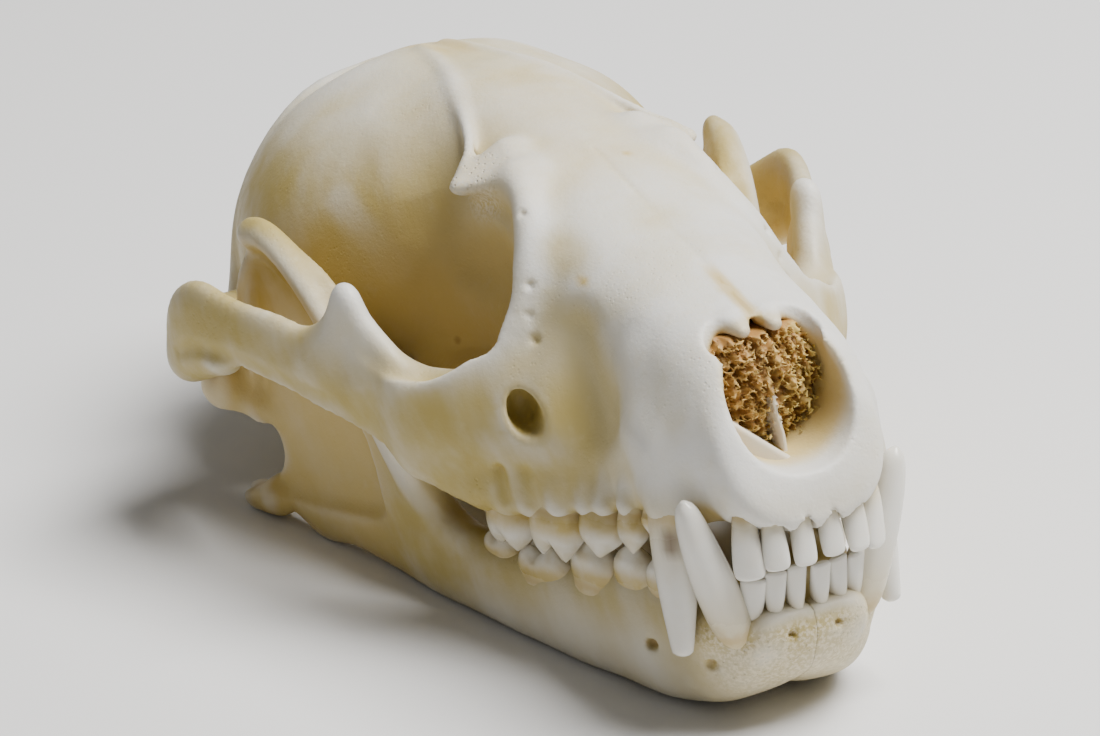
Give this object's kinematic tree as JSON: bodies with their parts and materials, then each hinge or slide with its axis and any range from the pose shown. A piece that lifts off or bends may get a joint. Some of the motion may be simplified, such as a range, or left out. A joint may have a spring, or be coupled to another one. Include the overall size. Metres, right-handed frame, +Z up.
{
  "type": "raccoon skull",
  "caption": "Life-size raccoon skull resting on its closed lower jaw, with a rounded braincase, open eye sockets, bowed cheek arches, scroll bones in the nose and full rows of teeth.",
  "frame": {"origin": "on the floor under the middle of the skull's box", "axes": "+Z up, snout towards -Y, +X to the animal's left"},
  "size_m": [0.0796, 0.1134, 0.0515],
  "materials": {
    "bone": null,
    "scroll_bone": null
  },
  "bodies": {
    "root": {"rostrum": "bone", "braincase": "bone", "zygomatic_arch_left": "bone", "zygomatic_arch_right": "bone", "mandible_left": "bone", "mandible_right": "bone", "turbinates_left": "scroll_bone", "turbinates_right": "scroll_bone"}
  },
  "joints": []
}
